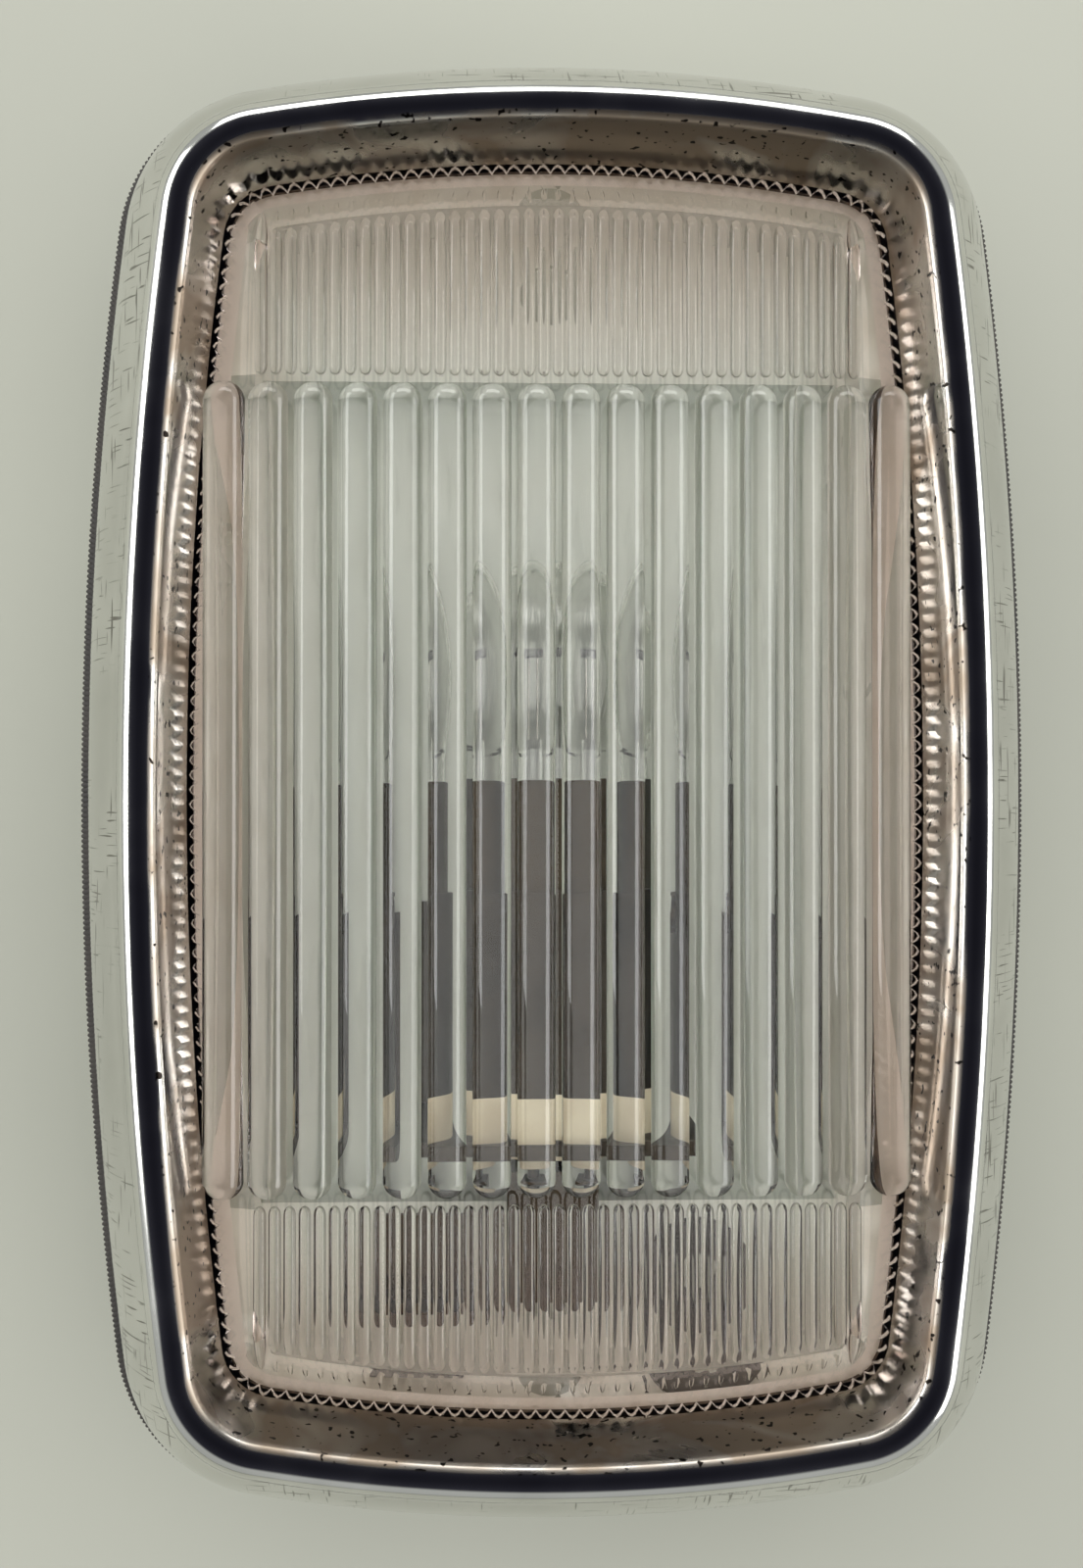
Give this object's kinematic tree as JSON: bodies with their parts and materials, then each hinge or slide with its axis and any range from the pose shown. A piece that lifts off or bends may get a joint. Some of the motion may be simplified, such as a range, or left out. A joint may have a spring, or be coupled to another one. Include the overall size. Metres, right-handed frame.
{
  "type": "interior lamp",
  "caption": "Recessed car interior lamp with a barrel-shaped chrome bezel, a clear lens of wide bars and fine ribs, a white pan and a bayonet bulb.",
  "frame": {"origin": "midway between the two fixing holes, on the rear face of the pan's shelves", "axes": "+Z out of the lens, +Y along the lamp away from the bulb's cap, +X across it"},
  "size_m": [0.0632, 0.0972, 0.0284],
  "materials": {
    "chrome_plate": "polished plate over a zinc casting, scratched, pitted and tarnished",
    "gasket_rubber": "matt black rubber with a finely corded edge",
    "seal_felt": "matt dark sealing strip",
    "lens_clear": "clear moulding, gone slightly brown with age",
    "white_enamel": "white stove enamel, slightly yellowed",
    "spring_steel": "spring strip, dull and stained",
    "rivet_steel": "plated steel rivets",
    "cap_brass": "dull brass",
    "black_glass": "opaque black insulating glass",
    "solder": "dull grey solder",
    "bulb_clear": "clear thin glass",
    "support_wire": "bare wire",
    "filament_wire": "dark grey wound wire",
    "holder_metal": "plated sheet steel, browned",
    "cream_fibre": "cream pressed fibre"
  },
  "bodies": {
    "root": {"bezel": "chrome_plate", "base_gasket": "gasket_rubber", "lens_seal": "seal_felt", "lens": "lens_clear", "reflector_pan": "white_enamel", "bezel_clip_right": "spring_steel", "bezel_clip_left": "spring_steel", "clip_rivets": "rivet_steel", "bulb_cap": "cap_brass", "bulb_button": "black_glass", "bulb_contact": "solder", "bulb_glass": "bulb_clear", "bulb_stem": "bulb_clear", "filament_supports": "support_wire", "filament": "filament_wire", "holder_sleeve": "holder_metal", "holder_bracket": "holder_metal", "foot_rivets": "rivet_steel", "contact_disc": "cream_fibre", "contact_plunger": "cap_brass", "contact_spring": "spring_steel", "contact_bush": "cream_fibre", "live_blade": "cap_brass", "earth_blade": "cap_brass", "cable_grommet": "gasket_rubber"}
  },
  "joints": []
}
